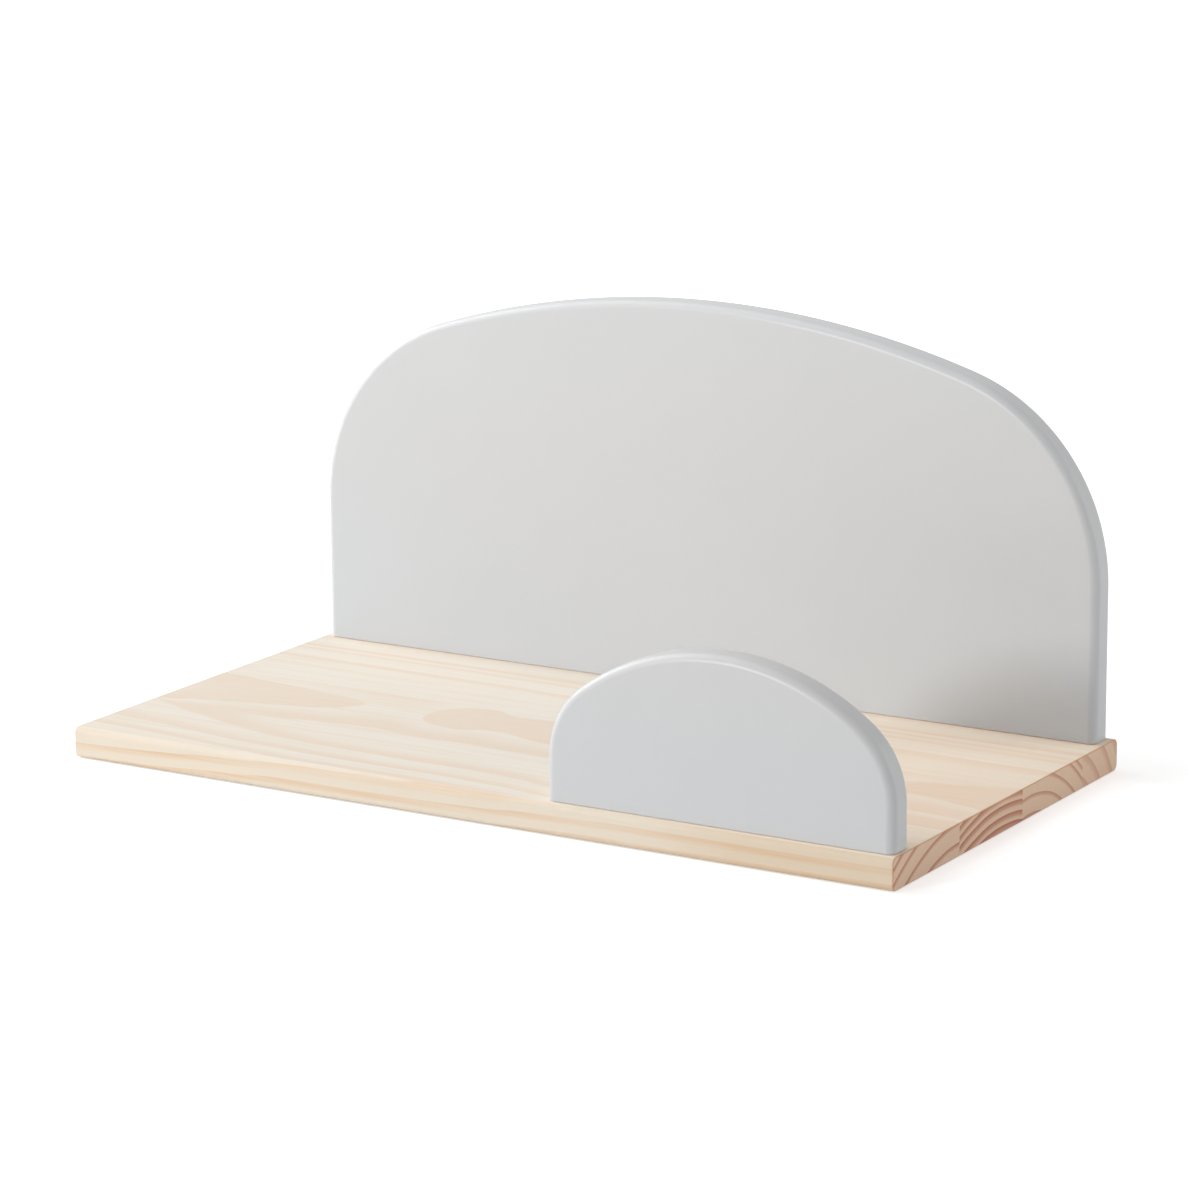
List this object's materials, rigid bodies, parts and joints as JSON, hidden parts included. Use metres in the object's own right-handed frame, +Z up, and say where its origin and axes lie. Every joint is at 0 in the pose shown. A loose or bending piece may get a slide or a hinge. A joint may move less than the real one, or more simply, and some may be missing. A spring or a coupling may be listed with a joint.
{
  "type": "wall shelf",
  "caption": "Wall shelf: a solid pine board between a tall arched painted back panel and a small arched front lip, hung on keyhole plates.",
  "frame": {"origin": "middle of the board's underside", "axes": "+X to the right seen from the front, +Y back to the wall, +Z up"},
  "size_m": [0.43, 0.222, 0.202],
  "materials": {
    "pine": "clear satin lacquer on pale edge-glued pine",
    "painted_mdf": "satin light grey paint on MDF",
    "beech": "bare fluted dowel",
    "zinc_steel": "bright zinc plated"
  },
  "bodies": {
    "root": {"stave_front": "pine", "stave_front_middle": "pine", "stave_rear_middle": "pine", "stave_rear": "pine", "back_panel": "painted_mdf", "front_lip": "painted_mdf", "panel_dowel_left": "beech", "panel_dowel_right": "beech", "lip_dowel_left": "beech", "lip_dowel_right": "beech", "panel_screw_left": "zinc_steel", "panel_screw_middle": "zinc_steel", "panel_screw_right": "zinc_steel", "lip_screw_left": "zinc_steel", "lip_screw_right": "zinc_steel", "hanger_plate_left": "zinc_steel", "hanger_plate_right": "zinc_steel", "hanger_screw_left_top": "zinc_steel", "hanger_screw_left_bottom": "zinc_steel", "hanger_screw_right_top": "zinc_steel", "hanger_screw_right_bottom": "zinc_steel"}
  },
  "joints": []
}
